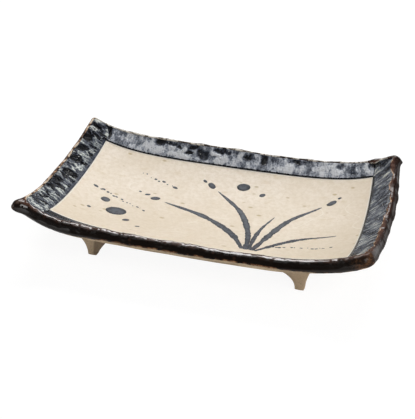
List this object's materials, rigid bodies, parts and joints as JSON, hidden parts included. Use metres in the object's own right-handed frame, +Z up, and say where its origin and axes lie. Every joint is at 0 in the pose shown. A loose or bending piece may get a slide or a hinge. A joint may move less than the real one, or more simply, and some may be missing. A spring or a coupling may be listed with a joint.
{
  "type": "rectangular plate",
  "caption": "Shallow rectangular stoneware plate with turned-up sides, a raised rough border, a glazed rim and flared feet.",
  "frame": {"origin": "on the table, under the middle of the plate", "axes": "+X along the plate's length to the right, +Y from the front long side to the rear one, +Z up"},
  "size_m": [0.3174, 0.1776, 0.0581],
  "materials": {
    "bare_clay": "matte",
    "border_glaze": "satin",
    "cream_glaze": "satin",
    "iron_glaze": "gloss"
  },
  "bodies": {
    "root": {"slab": "bare_clay", "front_left_foot": "bare_clay", "front_right_foot": "bare_clay", "rear_left_foot": "bare_clay", "rear_right_foot": "bare_clay", "left_border_strip": "border_glaze", "right_border_strip": "border_glaze", "front_border_strip": "border_glaze", "rear_border_strip": "border_glaze", "panel_glaze": "cream_glaze", "rim_glaze": "iron_glaze"}
  },
  "joints": []
}
